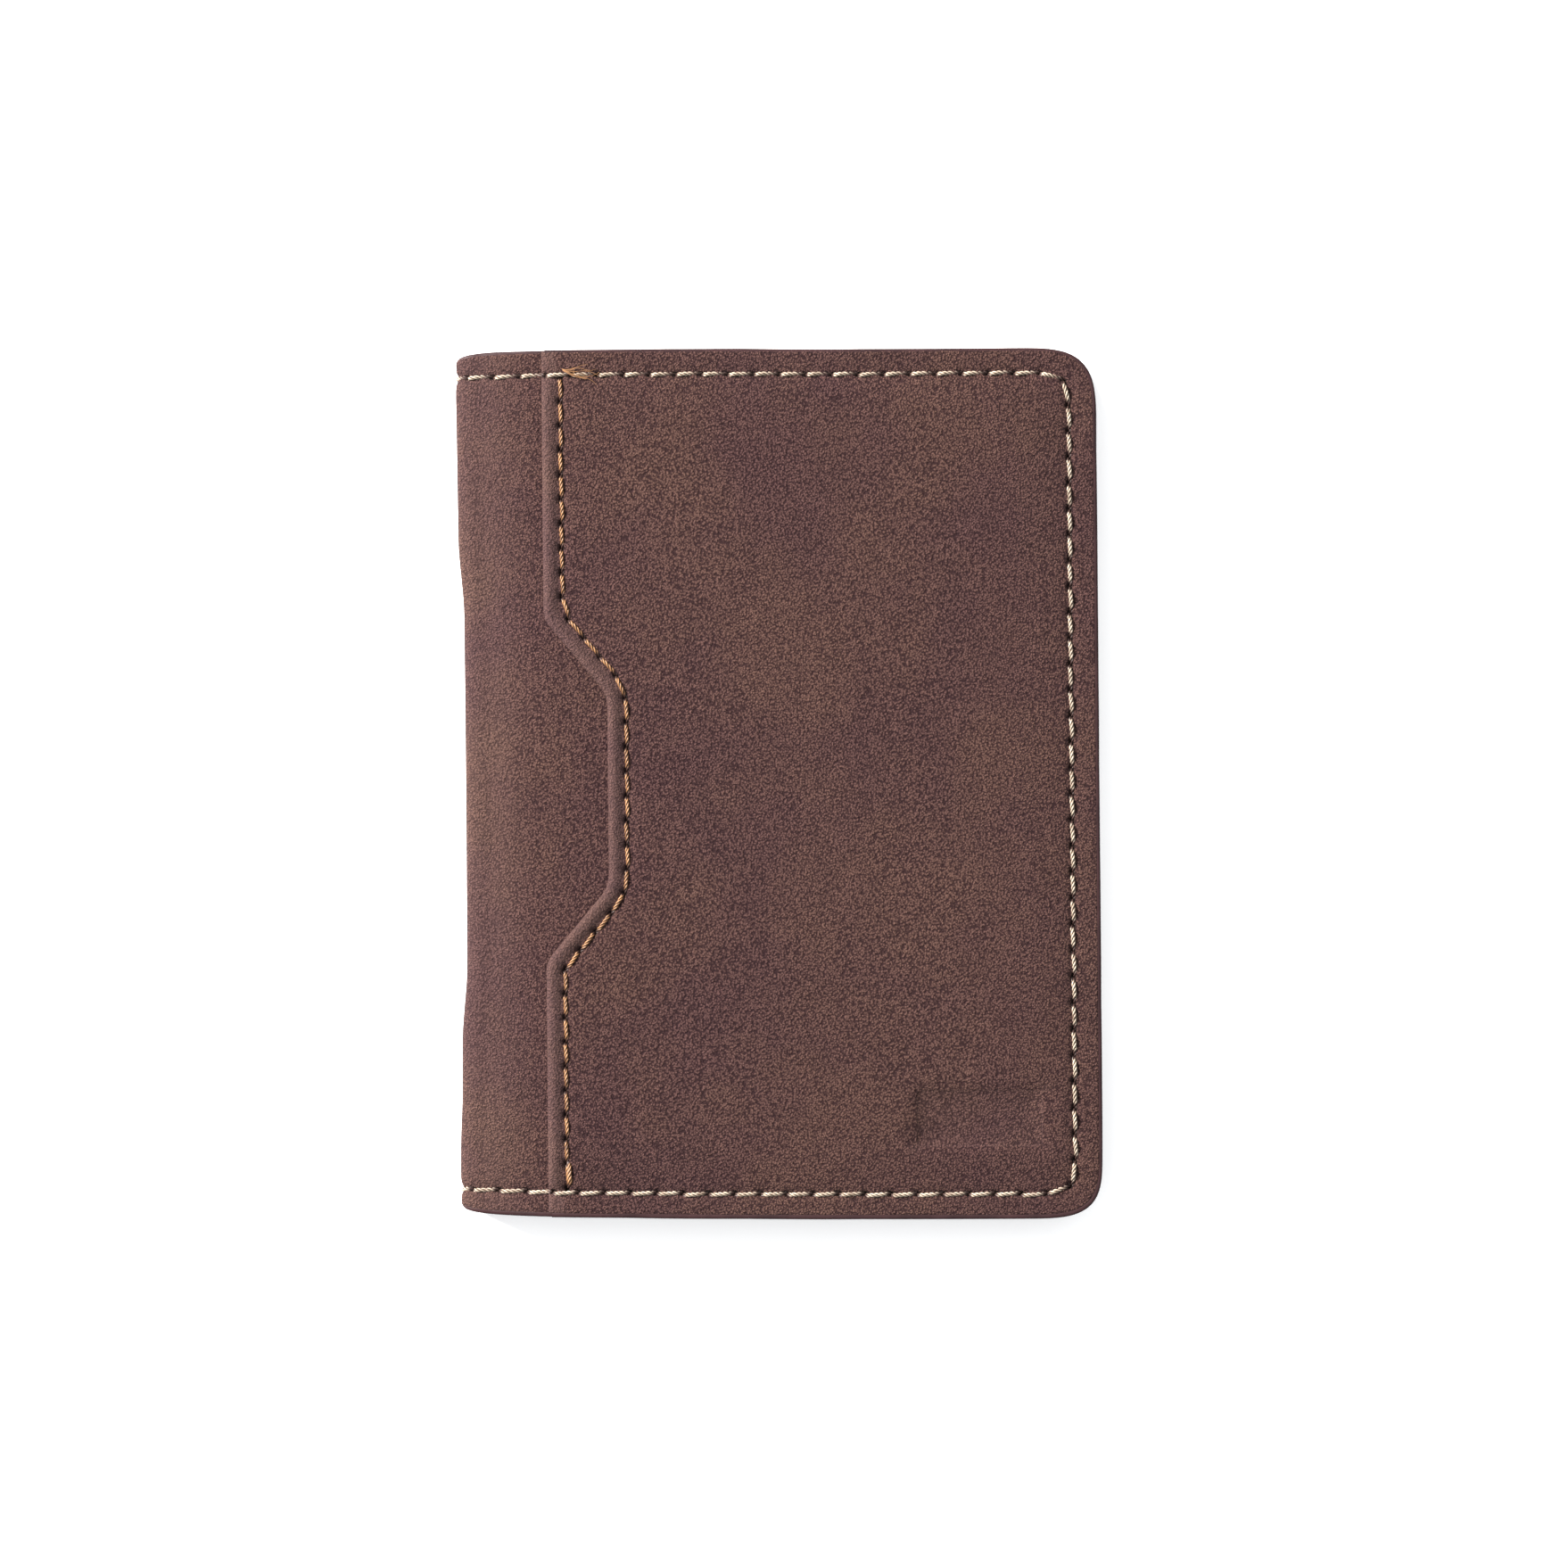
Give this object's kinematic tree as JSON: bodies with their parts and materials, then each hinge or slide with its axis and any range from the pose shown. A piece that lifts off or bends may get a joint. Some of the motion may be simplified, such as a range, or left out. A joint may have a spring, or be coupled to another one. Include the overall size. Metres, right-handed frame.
{
  "type": "slim bifold wallet",
  "caption": "Slim upright bifold wallet in brown nubuck, with a notched front pocket, stepped card slots, a window pocket and a note pocket.",
  "frame": {"origin": "middle of the outside face of the back cover, which the closed wallet lies on", "axes": "+Z out of the front cover, +Y towards the wallet's top edge, +X from the folded spine towards the fore edge"},
  "size_m": [0.08, 0.109, 0.0095],
  "materials": {
    "nubuck": "matte brown nubuck with fine pebble grain",
    "inner_leather": "smooth brown lining leather with turned edges",
    "lining_cloth": "dark brown twill lining",
    "grey_board": "grey stiffener board",
    "clear_film": "clear soft film",
    "cream_thread": "twisted cream polyester thread",
    "tan_thread": "twisted tan polyester thread"
  },
  "bodies": {
    "back_cover": {"back_cover_hide": "nubuck", "back_cover_board": "grey_board", "back_cover_lining": "lining_cloth", "back_divider_lining": "lining_cloth", "back_inner_base": "inner_leather", "back_seam_thread": "cream_thread", "card_slot_1_lining": "lining_cloth", "card_slot_1_strip": "inner_leather", "card_slot_2_lining": "lining_cloth", "card_slot_2_strip": "inner_leather", "card_slot_3_panel": "inner_leather", "card_slot_thread": "cream_thread"},
    "spine": {"spine_hide": "nubuck", "spine_lining": "lining_cloth", "spine_top_thread": "cream_thread", "spine_bottom_thread": "cream_thread"},
    "front_cover": {"front_cover_hide": "nubuck", "front_cover_board": "grey_board", "front_cover_lining": "lining_cloth", "front_divider_lining": "lining_cloth", "front_inner_base": "inner_leather", "front_pocket_hide": "nubuck", "front_pocket_lining": "lining_cloth", "front_seam_thread": "cream_thread", "mouth_seam_thread": "tan_thread", "window_film": "clear_film", "window_frame": "inner_leather", "window_frame_thread": "cream_thread"}
  },
  "joints": [
    {"name": "spine_fold", "type": "hinge", "parent": "back_cover", "child": "spine", "pos_m": [-0.03867, 0, 0.00155], "axis": [0, -1, 0], "range_deg": [0, 90], "deforming": ["spine_hide", "spine_lining", "spine_top_thread", "spine_bottom_thread"]},
    {"name": "cover_fold", "type": "hinge", "parent": "spine", "child": "front_cover", "pos_m": [-0.03867, 0, 0.00791], "axis": [0, -1, 0], "range_deg": [0, 90]}
  ],
  "couplings": [
    {"joint": "cover_fold", "follows": "spine_fold", "ratio": 1}
  ]
}
